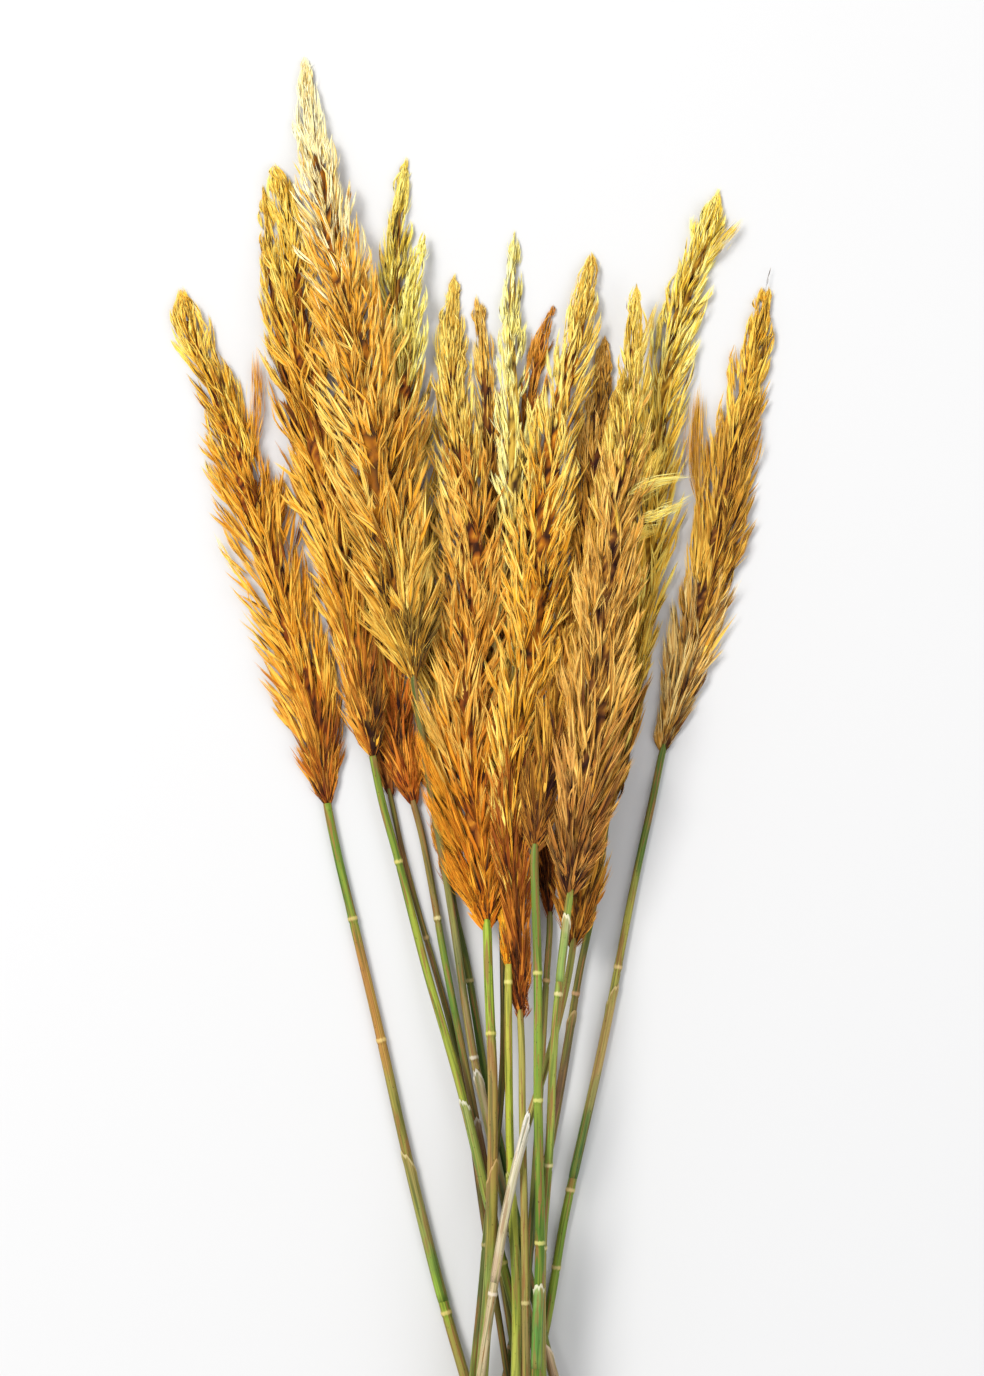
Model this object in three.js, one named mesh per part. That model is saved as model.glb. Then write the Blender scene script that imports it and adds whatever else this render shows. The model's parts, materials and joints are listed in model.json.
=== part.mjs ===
// A loose bunch of dried common reeds, lying on a flat surface.
//
// Each reed is a round stem with ringed nodes, a feathery seed plume on top of it and, on
// most of them, one dry leaf sheath that still clasps the stem above a node. The stems cross
// in a narrow waist near their cut feet, and the plumes fan out above it.
//
// Units are millimetres. X runs across the bunch, Y runs from the cut feet to the plume
// tips, and Z is up from the surface that the bunch lies on.

import * as THREE from "three";

// Driving dimensions of every reed.
const STEM_SIDES = 6;             // facets round a stem or sheath
const PLUME_SIDES = 8;            // facets round a plume
const FOOT_THICKNESS = 1.1;       // a stem's radius at its foot, as a share of the reed's own
const STEM_TAPER = 0.28;          // share of the reed's own radius that is lost up to the neck
const NODE_SWELLING = 0.45;       // how far a node stands proud of the stem
const NODE_HALF_LENGTH = 3;
const SHEATH_GAP = 0.35;          // air between a stem and its sheath
const SHEATH_WALL = 0.45;
const SHEATH_FOOT = 5;            // a sheath starts this far above its node
const NECK_GAP = 0.5;             // air between a stem's top and its plume
const RING_CLEARANCE = 2;         // a knot this close to another ring of the stem adds none
const PLUME_CORE = 0.66;          // the dense core's width, as a share of the whole plume's
const PLUME_FLATNESS = 0.36;      // the core's thickness, as a share of its width
const PLUME_FULLNESS = 0.7;       // lower is blunter at both ends
const THINNEST_PLUME = 0.5;       // half of the thickness that a plume's ends still take up
const BEND_REACH = 12;            // a reed's direction is taken over this length either way

// Finishes that all reeds share.
const STEM_ROUGHNESS = 0.55;
const PLUME_ROUGHNESS = 0.95;
const SHEATH_ROUGHNESS = 0.75;
const SHEATH_COLOUR = 0xc9b98c;

// How the pile settles.
const KNOTS = 25;                 // straight stretches that make up a reed's bent length
const STEPS_PER_KNOT = 6;         // points on each stretch at which contact is looked for
const SECTION_STEPS = 6;          // places on each half of a section at which it is compared
const CONTACT_WINDOW = 12;        // points further apart than this along Y can't touch
const TOUCH_GAP = 0.6;            // air left between two reeds that lie on each other
const STEEPEST = 0.13;            // rise over run that a stiff reed can follow
const SETTLING_ROUNDS = 70;
const PRESSED = 0.72;             // a plume on the surface sinks to this share of its thickness

// The reeds, roughly from left to right at their plumes. A route runs over the surface from the cut
// foot to the plume's tip. "neck" is where the stem ends and the plume begins, "nodes" are
// the stem's nodes and "sheath" is the node that the sheath grows from and its torn top, all
// given by their place along Y. A larger "layer" lies over a smaller one. A stem with
// "raisedFrom" lies as high as its own plume from that place on.
const REEDS = [
  {
    route: [
      [13, -405], [-12, -310], [-21, -280], [-38, -212], [-50, -158], [-63, -103], [-74, -55],
      [-81, -5], [-95, 40], [-109, 85], [-122, 130], [-135, 155], [-140, 179],
    ],
    neck: -52, radius: 2.5, plumeWidth: 36, widest: 0.42, nodes: [-368, -280, -158, -103],
    sheath: { node: -280, top: -207 }, stemLayer: 5, plumeLayer: 15,
    stemColour: 0x8a8a45, plumeColour: 0xb9792e,
  },
  {
    route: [
      [20, -396], [7, -310], [-5, -232], [-13, -176], [-22, -140], [-34, -98], [-43, -64],
      [-46, -48], [-57, -5], [-68, 40], [-80, 85], [-90, 130], [-98, 175], [-103, 224],
    ],
    neck: -48, radius: 1.6, plumeWidth: 22, widest: 0.5, nodes: [-350, -204, -112],
    stemLayer: 3, plumeLayer: 4, stemColour: 0x5d4a35, plumeColour: 0x8a5a2c,
  },
  {
    route: [
      [33, -412], [17, -310], [-2, -230], [-15, -176], [-31, -122], [-42, -78], [-50, -50],
      [-58, -5], [-64, 40], [-73, 85], [-82, 130], [-89, 175], [-93, 220], [-98, 235],
    ],
    neck: -30, radius: 2.2, plumeWidth: 36, widest: 0.55, nodes: [-345, -256, -78],
    sheath: { node: -256, top: -183 }, stemLayer: 10, plumeLayer: 11,
    stemColour: 0x93934b, plumeColour: 0xb5732c,
  },
  {
    route: [
      [40, -415], [22, -310], [-4, -185], [-10, -158], [-15, -122], [-22, -77], [-28, -46],
      [-33, -10], [-41, 40], [-50, 85], [-57, 130], [-66, 175], [-76, 220], [-83, 256], [-84, 282],
    ],
    neck: 4, radius: 2.1, plumeWidth: 46, widest: 0.32, nodes: [-340, -243, -165],
    sheath: { node: -243, top: -170 }, stemLayer: 12, plumeLayer: 29,
    stemColour: 0x85814c, plumeColour: 0xcdb27a,
  },
  {
    route: [
      [27, -404], [12, -310], [-4, -212], [-11, -176], [-18, -140], [-25, -103], [-31, -68],
      [-36, -52], [-45, -5], [-48, 40], [-44, 85], [-40, 130], [-36, 179], [-31, 203],
    ],
    neck: -52, radius: 2.0, plumeWidth: 30, widest: 0.4, nodes: [-356, -262, -103],
    sheath: { node: -262, top: -192 }, stemLayer: 8, plumeLayer: 9,
    stemColour: 0x7d6c3e, plumeColour: 0xb06a2a,
  },
  {
    route: [
      [51, -400], [28, -310], [23, -292], [-1, -185], [-5, -167], [-10, -131], [-19, -91],
      [-23, -28], [-30, 40], [-36, 85], [-40, 130], [-44, 175], [-43, 211], [-39, 237],
    ],
    neck: -88, radius: 2.1, plumeWidth: 30, widest: 0.5, nodes: [-372, -225, -131],
    sheath: { node: -372, top: -293 }, stemLayer: 6, plumeLayer: 7,
    stemColour: 0x6f7440, plumeColour: 0xc08a3a,
  },
  {
    route: [
      [-6, -410], [-5, -310], [-1, -257], [0, -203], [0, -167], [-2, -131], [-2, -107],
      [-8, -50], [-10, -5], [-9, 40], [-12, 85], [-17, 121], [-19, 157], [-17, 184],
    ],
    neck: -106, radius: 2.7, plumeWidth: 40, widest: 0.34, nodes: [-352, -154],
    sheath: { node: -352, top: -208 }, stemLayer: 18, plumeLayer: 30,
    stemColour: 0x9c9a48, plumeColour: 0xbf7c2c,
  },
  {
    route: [
      [-16, -398], [-9, -310], [-5, -271], [-2, -235], [4, -181], [5, -158], [4, -95],
      [1, -5], [0, 85], [-2, 116], [-4, 148], [-7, 175],
    ],
    neck: -93, radius: 1.9, plumeWidth: 22, widest: 0.55, nodes: [-342, -248],
    stemLayer: 13, plumeLayer: 14, stemColour: 0x5f5a38, plumeColour: 0x9c5f2a,
  },
  {
    route: [
      [8, -414], [10, -310], [11, -275], [8, -217], [7, -140], [7, -125],
      [8, -50], [8, 40], [10, 103], [9, 130], [8, 157], [10, 205],
    ],
    neck: -124, radius: 2.2, plumeWidth: 20, widest: 0.6, nodes: [-330, -131],
    sheath: { node: -330, top: -214 }, stemLayer: 19, plumeLayer: 24,
    stemColour: 0xa3a548, plumeColour: 0xb8a163,
  },
  {
    route: [
      [14, -402], [15, -310], [14, -230], [13, -176], [13, -158], [12, -147],
      [12, -118], [8, -60], [10, -23], [15, 10], [21, 58], [25, 95], [31, 130], [42, 175], [44, 196],
    ],
    neck: -146, radius: 2.0, plumeWidth: 32, widest: 0.6, nodes: [-362, -272],
    stemLayer: 20, plumeLayer: 32, stemColour: 0x85784a, plumeColour: 0xcf9536,
  },
  {
    route: [
      [4, -408], [12, -310], [18, -230], [22, -167], [24, -131], [26, -104],
      [22, -59], [15, -5], [14, 58], [15, 107], [19, 143], [27, 172],
    ],
    neck: -103, radius: 1.9, plumeWidth: 20, widest: 0.6, nodes: [-335, -131],
    stemLayer: 16, plumeLayer: 17, stemColour: 0x6b6a3e, plumeColour: 0x8f4d26,
  },
  {
    route: [
      [19, -416], [19, -310], [20, -275], [21, -245], [20, -182], [20, -126], [19, -95],
      [18, -73], [28, -23], [35, 17], [42, 58], [45, 94], [48, 130], [50, 157],
    ],
    neck: -72, radius: 2.4, plumeWidth: 28, widest: 0.5, nodes: [-306, -245, -182, -126],
    sheath: { node: -306, top: -262 }, stemLayer: 26, plumeLayer: 27,
    stemColour: 0x7f9148, plumeColour: 0x8c6238,
  },
  {
    route: [
      [-23, -412], [-6, -310], [0, -268], [7, -226], [17, -187], [24, -167], [31, -140],
      [36, -116], [39, -73], [44, -14], [50, 40], [54, 94], [58, 139],
    ],
    neck: -114, radius: 2.1, plumeWidth: 26, widest: 0.45, nodes: [-372, -268],
    sheath: { node: -268, top: -187 }, stemLayer: 22, plumeLayer: 28,
    stemColour: 0xc2b189, plumeColour: 0xa87b45,
  },
  {
    route: [
      [24, -406], [22, -310], [22, -248], [25, -208], [27, -158], [29, -135],
      [34, -93], [40, -50], [46, -5], [51, 40], [55, 76], [61, 116], [63, 152], [64, 179],
    ],
    neck: -92, radius: 2.2, plumeWidth: 34, widest: 0.35, nodes: [-350, -248, -211, -135],
    sheath: { node: -135, top: -99 }, stemLayer: 21, raisedFrom: -180, plumeLayer: 31,
    stemColour: 0x8d9250, plumeColour: 0xa9743a,
  },
  {
    route: [
      [-12, -400], [6, -310], [21, -230], [28, -194], [34, -158], [40, -122], [48, -86],
      [51, -58], [61, 4], [67, 40], [71, 71], [73, 103], [76, 130], [81, 157], [96, 202], [101, 222],
    ],
    neck: -57, radius: 2.0, plumeWidth: 28, widest: 0.55, nodes: [-296, -212, -137, -86],
    sheath: { node: -212, top: -144 }, stemLayer: 1, plumeLayer: 25,
    stemColour: 0x5f6a3a, plumeColour: 0xc79d4c,
  },
  {
    route: [
      [-2, -409], [18, -310], [24, -288], [32, -239], [40, -203], [50, -158], [57, -122], [64, -86],
      [72, -50], [76, -29], [88, 13], [95, 40], [105, 94], [111, 121], [117, 148], [124, 187],
    ],
    neck: -28, radius: 2.1, plumeWidth: 27, widest: 0.45, nodes: [-340, -260, -225, -125],
    sheath: { node: -225, top: -132 }, stemLayer: 2, plumeLayer: 23,
    stemColour: 0x6d7d3f, plumeColour: 0xbd823a,
  },
];

// A dull dry surface of one colour.
function dryMaterial(name, colour, roughness) {
  return new THREE.MeshStandardMaterial({ name, color: colour, roughness, metalness: 0 });
}

// Radius of a reed's stem at a place along Y, between its cut foot and its neck.
function stemRadius(reed, y) {
  const foot = reed.route[0][1];
  const share = THREE.MathUtils.clamp((y - foot) / (reed.neck - foot), 0, 1);
  return reed.radius * (FOOT_THICKNESS - STEM_TAPER * share);
}

// Half of the plume core's width at a place along Y. It is a sine hump whose top is shifted
// to the plume's widest place.
function coreHalfWidth(reed, y) {
  const tip = reed.route.at(-1)[1];
  const share = THREE.MathUtils.clamp((y - reed.neck) / (tip - reed.neck), 0, 1);
  const shift = Math.log(0.5) / Math.log(reed.widest);
  const hump = Math.max(Math.sin(Math.PI * share ** shift), 0);
  return 0.5 * PLUME_CORE * reed.plumeWidth * hump ** PLUME_FULLNESS;
}

// Half width and half height that a reed takes up at a place along Y, its sheath included.
function sectionAt(reed, y) {
  if (y > reed.neck) {
    const halfWidth = coreHalfWidth(reed, y);
    return { halfWidth, halfHeight: Math.max(halfWidth * PLUME_FLATNESS, THINNEST_PLUME) };
  }
  const inSheath = reed.sheath && y > reed.sheath.node && y < reed.sheath.top + SHEATH_FOOT;
  const extra = inSheath ? SHEATH_GAP + SHEATH_WALL : NODE_SWELLING;
  const outer = stemRadius(reed, y) + extra;
  return { halfWidth: outer, halfHeight: outer };
}

// The points of a reed's route at which its height is settled, low to high along Y.
function routePoints(reed) {
  const corners = reed.route.map(([x, y]) => new THREE.Vector3(x, y, 0));
  const curve = new THREE.CatmullRomCurve3(corners, false, "centripetal");
  const knots = curve.getSpacedPoints(KNOTS);
  const places = knots.slice(1).flatMap((end, k) => (
    Array.from({ length: STEPS_PER_KNOT }, (_, step) => knots[k].clone().lerp(end, step / STEPS_PER_KNOT))
  ));
  places.push(knots.at(-1));
  return places.map((place) => {
    const isPlume = place.y > reed.neck;
    const isRaised = place.y > (reed.raisedFrom ?? reed.neck);
    const section = sectionAt(reed, place.y);
    const sinking = isPlume ? PRESSED : Math.cos(Math.PI / STEM_SIDES);
    return {
      x: place.x,
      y: place.y,
      halfWidth: section.halfWidth,
      halfHeight: section.halfHeight,
      layer: isRaised ? reed.plumeLayer : reed.stemLayer,
      floor: section.halfHeight * sinking,
      over: [],
    };
  });
}

// How far apart two elliptical sections must be in height when their centres are "across"
// apart sideways, so that the upper one just clears the lower one.
function clearHeight(upper, lower, across) {
  let clear = 0;
  for (let step = -SECTION_STEPS; step <= SECTION_STEPS; step += 1) {
    const offset = (step / SECTION_STEPS) * lower.halfWidth;
    const fromUpper = (offset - across) / upper.halfWidth;
    if (Math.abs(fromUpper) > 1) continue;
    const top = lower.halfHeight * Math.sqrt(1 - (offset / lower.halfWidth) ** 2);
    const bottom = upper.halfHeight * Math.sqrt(1 - fromUpper ** 2);
    clear = Math.max(clear, top + bottom);
  }
  return clear;
}

// Lists, for every point of every route, the points of lower reeds that it lies over.
function findCrossings(routes) {
  routes.forEach((route, index) => {
    routes.forEach((other, otherIndex) => {
      if (index === otherIndex) return;
      for (const point of route) {
        for (let k = 1; k < other.length - 1; k += 1) {
          const below = other[k];
          if (below.layer >= point.layer) continue;
          if (Math.abs(below.y - point.y) > CONTACT_WINDOW) continue;
          const ahead = new THREE.Vector2(other[k + 1].x - other[k - 1].x, other[k + 1].y - other[k - 1].y);
          const span = ahead.length() / 2;
          ahead.normalize();
          const away = new THREE.Vector2(point.x - below.x, point.y - below.y);
          if (Math.abs(away.dot(ahead)) > span) continue;
          const across = Math.abs(away.cross(ahead));
          if (across > point.halfWidth + below.halfWidth + TOUCH_GAP) continue;
          const narrowed = Math.max(across - TOUCH_GAP / 2, 0);
          const clear = clearHeight(point, below, narrowed);
          if (clear > 0) point.over.push({ below, clear: clear + TOUCH_GAP });
        }
      }
    });
  });
}

// Keeps a height from changing faster than a stiff reed can bend, by raising it.
function limitSlope(route, heights) {
  const reach = (from, to) => {
    const run = Math.hypot(route[to].x - route[from].x, route[to].y - route[from].y);
    heights[to] = Math.max(heights[to], heights[from] - STEEPEST * run);
  };
  for (let k = 1; k < heights.length; k += 1) reach(k - 1, k);
  for (let k = heights.length - 2; k >= 0; k -= 1) reach(k + 1, k);
}

// Largest height from one place in a list to another, both included.
function highest(heights, first, last) {
  return Math.max(...heights.slice(Math.max(first, 0), last + 1));
}

// Turns heights into one straight slope per stretch that is nowhere lower than they are.
function straighten(heights) {
  const knots = Array.from({ length: KNOTS + 1 }, (_, knot) => (
    highest(heights, (knot - 1) * STEPS_PER_KNOT, (knot + 1) * STEPS_PER_KNOT)
  ));
  return heights.map((_, k) => {
    const knot = Math.min(Math.floor(k / STEPS_PER_KNOT), KNOTS - 1);
    return THREE.MathUtils.lerp(knots[knot], knots[knot + 1], k / STEPS_PER_KNOT - knot);
  });
}

// Lays the whole bunch down: every point rests on the surface or on what is under it.
function settle(routes) {
  for (const route of routes) {
    for (const point of route) point.z = point.floor;
  }
  for (let round = 0; round < SETTLING_ROUNDS; round += 1) {
    for (const route of routes) {
      const heights = route.map((point) => {
        const needed = point.over.map(({ below, clear }) => below.z + clear);
        return Math.max(point.floor, ...needed);
      });
      limitSlope(route, heights);
      straighten(heights).forEach((height, k) => {
        route[k].z = height;
      });
    }
  }
}

// The place on a settled route at a given Y.
function placeAt(route, y) {
  const above = route.findIndex((point) => point.y > y);
  const k = THREE.MathUtils.clamp(above < 0 ? route.length - 1 : above, 1, route.length - 1);
  const share = (y - route[k - 1].y) / (route[k].y - route[k - 1].y);
  const start = new THREE.Vector3(route[k - 1].x, route[k - 1].y, route[k - 1].z);
  const end = new THREE.Vector3(route[k].x, route[k].y, route[k].z);
  return start.lerp(end, share);
}

// Bends a straight solid, modelled along Y, onto a settled route. Nothing goes below the
// surface, so whatever is pressed on it turns flat there.
function bendOnto(geometry, route) {
  const positions = geometry.getAttribute("position");
  const vertex = new THREE.Vector3();
  for (let k = 0; k < positions.count; k += 1) {
    vertex.fromBufferAttribute(positions, k);
    const centre = placeAt(route, vertex.y);
    const ahead = placeAt(route, vertex.y + BEND_REACH);
    ahead.sub(placeAt(route, vertex.y - BEND_REACH)).normalize();
    const side = new THREE.Vector3().crossVectors(ahead, new THREE.Vector3(0, 0, 1)).normalize();
    const up = new THREE.Vector3().crossVectors(side, ahead);
    centre.addScaledVector(side, vertex.x).addScaledVector(up, vertex.z);
    positions.setXYZ(k, centre.x, centre.y, Math.max(centre.z, 0));
  }
  geometry.computeVertexNormals();
  return geometry;
}

// Turns a profile of [radius, y] pairs round the Y axis. The half-facet turn puts a flat
// side, not an edge, at the bottom.
function turned(profile, sides) {
  const outline = profile.map(([radius, y]) => new THREE.Vector2(radius, y));
  return new THREE.LatheGeometry(outline, sides, Math.PI / sides);
}

// The places along Y, between two limits, where a route has a knot.
function knotsBetween(route, low, high) {
  const knots = route.filter((_, k) => k % STEPS_PER_KNOT === 0).map((point) => point.y);
  return knots.filter((y) => y > low && y < high);
}

// Where a stem has its rings: its ends, its nodes, the ends of its sheath and the knots.
function stemRings(reed, route) {
  const foot = reed.route[0][1];
  const neck = reed.neck - NECK_GAP;
  const rings = [foot, neck];
  for (const node of reed.nodes) rings.push(node - NODE_HALF_LENGTH, node, node + NODE_HALF_LENGTH);
  if (reed.sheath) rings.push(reed.sheath.node + SHEATH_FOOT, reed.sheath.top);
  const isClear = (y) => rings.every((ring) => Math.abs(ring - y) > RING_CLEARANCE);
  rings.push(...knotsBetween(route, foot, neck).filter(isClear));
  return rings.sort((low, high) => low - high);
}

// A stem: a solid round rod, slightly thicker at its nodes.
function makeStem(reed, route) {
  const rings = stemRings(reed, route);
  const profile = rings.map((y) => {
    const swelling = reed.nodes.includes(y) ? NODE_SWELLING : 0;
    return [stemRadius(reed, y) + swelling, y];
  });
  return bendOnto(turned([[0, rings[0]], ...profile, [0, rings.at(-1)]], STEM_SIDES), route);
}

// A leaf sheath: a thin open sleeve round the stem, a little clear of it all the way.
function makeSheath(reed, route) {
  const first = reed.sheath.node + SHEATH_FOOT;
  const rings = stemRings(reed, route).filter((y) => y >= first && y <= reed.sheath.top);
  const inner = rings.map((y) => {
    const swelling = reed.nodes.includes(y) ? NODE_SWELLING : 0;
    return [stemRadius(reed, y) + swelling + SHEATH_GAP, y];
  });
  const outer = inner.map(([radius, y]) => [radius + SHEATH_WALL, y]);
  return bendOnto(turned([...outer, ...inner.reverse(), outer[0]], STEM_SIDES), route);
}

// The dense core of a plume: a flattened spindle from the neck to the tip.
function makePlume(reed, route) {
  const tip = reed.route.at(-1)[1];
  const rings = knotsBetween(route, reed.neck + NECK_GAP, tip - NECK_GAP);
  const profile = rings.map((y) => [coreHalfWidth(reed, y), y]);
  const geometry = turned([[0, reed.neck], ...profile, [0, tip]], PLUME_SIDES);
  geometry.scale(1, 1, PLUME_FLATNESS);
  return bendOnto(geometry, route);
}

const routes = REEDS.map(routePoints);
findCrossings(routes);
settle(routes);

const bunch = new THREE.Group();

function addPiece(name, geometry, material) {
  const mesh = new THREE.Mesh(geometry, material);
  mesh.name = name;
  bunch.add(mesh);
}

REEDS.forEach((reed, index) => {
  const route = routes[index];
  const name = `reed_${String(index + 1).padStart(2, "0")}`;
  const stemFinish = dryMaterial("stem", reed.stemColour, STEM_ROUGHNESS);
  const plumeFinish = dryMaterial("plume", reed.plumeColour, PLUME_ROUGHNESS);
  addPiece(`${name}_stem`, makeStem(reed, route), stemFinish);
  addPiece(`${name}_plume`, makePlume(reed, route), plumeFinish);
  if (reed.sheath) {
    const sheathFinish = dryMaterial("sheath", SHEATH_COLOUR, SHEATH_ROUGHNESS);
    addPiece(`${name}_sheath`, makeSheath(reed, route), sheathFinish);
  }
});

// The origin is under the middle of the bunch, on the surface.
const box = new THREE.Box3().setFromObject(bunch);
const middle = box.getCenter(new THREE.Vector3());
bunch.position.set(-middle.x, -middle.y, -box.min.z);

export default bunch;
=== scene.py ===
import json

import bpy
import numpy as np
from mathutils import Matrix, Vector


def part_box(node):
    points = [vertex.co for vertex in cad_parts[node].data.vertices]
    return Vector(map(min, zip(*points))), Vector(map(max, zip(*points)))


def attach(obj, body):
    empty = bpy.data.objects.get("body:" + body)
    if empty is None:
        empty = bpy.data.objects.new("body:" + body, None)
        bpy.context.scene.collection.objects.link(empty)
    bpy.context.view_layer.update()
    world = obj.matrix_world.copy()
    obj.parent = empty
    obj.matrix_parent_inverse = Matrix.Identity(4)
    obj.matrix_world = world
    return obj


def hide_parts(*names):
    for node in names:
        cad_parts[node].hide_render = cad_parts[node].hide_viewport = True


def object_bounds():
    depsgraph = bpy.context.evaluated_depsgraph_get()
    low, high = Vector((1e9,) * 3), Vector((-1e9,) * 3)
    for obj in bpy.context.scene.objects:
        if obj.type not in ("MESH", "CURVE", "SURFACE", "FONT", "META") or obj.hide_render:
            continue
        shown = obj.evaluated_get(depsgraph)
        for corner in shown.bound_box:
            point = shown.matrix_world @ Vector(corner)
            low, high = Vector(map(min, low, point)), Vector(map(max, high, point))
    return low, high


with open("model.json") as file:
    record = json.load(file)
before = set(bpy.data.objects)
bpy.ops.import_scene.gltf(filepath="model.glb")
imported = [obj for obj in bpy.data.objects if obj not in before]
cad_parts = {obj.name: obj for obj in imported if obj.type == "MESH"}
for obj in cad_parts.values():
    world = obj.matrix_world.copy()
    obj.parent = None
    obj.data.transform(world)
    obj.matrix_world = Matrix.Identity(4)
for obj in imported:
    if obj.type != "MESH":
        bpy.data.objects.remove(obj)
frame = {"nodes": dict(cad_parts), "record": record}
cad_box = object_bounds()

# ---------------------------------------------------------------------------------------
# The surface that the bunch lies on, the studio light and the camera. The surface is plain
# and nearly white. A big soft light at the upper left leaves pale shadows on the right, and
# the camera looks straight down on the plumes and leaves the cut feet out of the picture.
# ---------------------------------------------------------------------------------------
PICTURE_HEIGHT = 0.619
PICTURE_SHAPE = 984 / 1376
PICTURE_WIDTH = PICTURE_HEIGHT * PICTURE_SHAPE
ROOM_ABOVE_TIPS = 0.0275
ROOM_LEFT_OF_PLUMES = 0.0816
CAMERA_HEIGHT = 2.0
SENSOR = 36.0
SKY_COLOUR = (0.97, 0.98, 1.0)
SKY_STRENGTH = 0.64
FLOOR_REACH = 10.0
FLOOR_ROUGHNESS = 0.85
FLOOR_GLOSS = 0.15
FLOOR_CLOUD_SCALE = 2.0
FLOOR_TONES = ((0.655, 0.655, 0.66, 1.0), (0.675, 0.675, 0.675, 1.0))

(box_left, _, _), (_, box_tip, _) = cad_box
view_x = box_left - ROOM_LEFT_OF_PLUMES + PICTURE_WIDTH / 2
view_y = box_tip + ROOM_ABOVE_TIPS - PICTURE_HEIGHT / 2


def linear(hex_colour):
    """A colour written as 0xRRGGBB, as the linear values that materials take."""
    channels = [(hex_colour >> shift & 255) / 255 for shift in (16, 8, 0)]
    return (*[c / 12.92 if c < 0.04045 else ((c + 0.055) / 1.055) ** 2.4 for c in channels], 1.0)


camera_data = bpy.data.cameras.new("camera")
camera_data.sensor_width = SENSOR
camera_data.lens = SENSOR * CAMERA_HEIGHT / PICTURE_HEIGHT
camera = bpy.data.objects.new("camera", camera_data)
camera.location = (view_x, view_y, CAMERA_HEIGHT)
bpy.context.collection.objects.link(camera)
bpy.context.scene.camera = camera
bpy.context.scene.view_settings.view_transform = "Standard"

world = bpy.data.worlds.new("studio")
world.use_nodes = True
world.node_tree.nodes["Background"].inputs["Color"].default_value = (*SKY_COLOUR, 1.0)
world.node_tree.nodes["Background"].inputs["Strength"].default_value = SKY_STRENGTH
bpy.context.scene.world = world


def add_softbox(name, place, size, power, colour):
    """A square area light that faces the middle of the picture."""
    light = bpy.data.lights.new(name, "AREA")
    light.size = size
    light.energy = power
    light.color = colour
    lamp = bpy.data.objects.new(name, light)
    lamp.location = place
    aim = Vector((view_x, view_y, 0.0)) - Vector(place)
    lamp.rotation_euler = aim.to_track_quat("-Z", "Y").to_euler()
    bpy.context.collection.objects.link(lamp)


add_softbox("key", (view_x - 1.8, view_y + 1.4, 2.6), 1.4, 118.0, (1.0, 0.985, 0.96))
add_softbox("fill", (view_x + 1.9, view_y - 1.2, 2.2), 2.2, 24.0, SKY_COLOUR)

floor_mesh = bpy.data.meshes.new("floor")
floor_corners = [(x, y, 0.0) for x, y in [(-1, -1), (1, -1), (1, 1), (-1, 1)]]
floor_points = [(x * FLOOR_REACH, y * FLOOR_REACH, z) for x, y, z in floor_corners]
floor_mesh.from_pydata(floor_points, [], [(0, 1, 2, 3)])
floor = bpy.data.objects.new("floor", floor_mesh)
bpy.context.collection.objects.link(floor)

floor_paint = bpy.data.materials.new("white_surface")
floor_paint.use_nodes = True
floor_nodes = floor_paint.node_tree.nodes
floor_shader = floor_nodes["Principled BSDF"]
floor_shader.inputs["Roughness"].default_value = FLOOR_ROUGHNESS
floor_shader.inputs["Specular IOR Level"].default_value = FLOOR_GLOSS
floor_cloud = floor_nodes.new("ShaderNodeTexNoise")
floor_cloud.inputs["Scale"].default_value = FLOOR_CLOUD_SCALE
floor_tone = floor_nodes.new("ShaderNodeMix")
floor_tone.data_type = "RGBA"
floor_tone.inputs["A"].default_value, floor_tone.inputs["B"].default_value = FLOOR_TONES
floor_paint.node_tree.links.new(floor_cloud.outputs["Fac"], floor_tone.inputs["Factor"])
floor_paint.node_tree.links.new(floor_tone.outputs["Result"], floor_shader.inputs["Base Color"])
floor_mesh.materials.append(floor_paint)

# ---------------------------------------------------------------------------------------
# The stems: round hollow canes of dried grass, satin and finely grooved lengthwise, green
# to olive and brown, with a swollen cream ring at each node. Each is cut square at its foot
# and narrows at its neck, where the plume begins.
# ---------------------------------------------------------------------------------------
STEM_SIDES = 12
STEM_STEP = 0.0035
SPINE_STEP = 0.002
END_MARGIN = 0.001
BEND_ROUNDING = 0.03
NODE_STEP = 0.0006
NODE_REACH = 0.004
NODE_BULGE = 0.0003
NODE_BULGE_WIDTH = 0.0011
NODE_WAIST = 0.55
NODE_WAIST_WIDTH = 0.0006
NODE_WAIST_BELOW = 0.0021
NODE_RING_WIDTH = 0.0012
HOLLOW_SHARE = 0.62
HOLLOW_DEPTH = 0.012
STEM_IN_PLUME = 0.003
NECK_SHARE = 0.75
CANE_SHARE = 0.93
CANE_RIBS = 5
CANE_RIB_DEPTH = 0.012
SLOPE_REACH = 0.004
SURFACE_GAP = 0.0001
CANE_SPECULAR = 0.16
CANE_WEATHERING = 0.8
CANE_GROOVE_DEPTH = 0.00015

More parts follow.
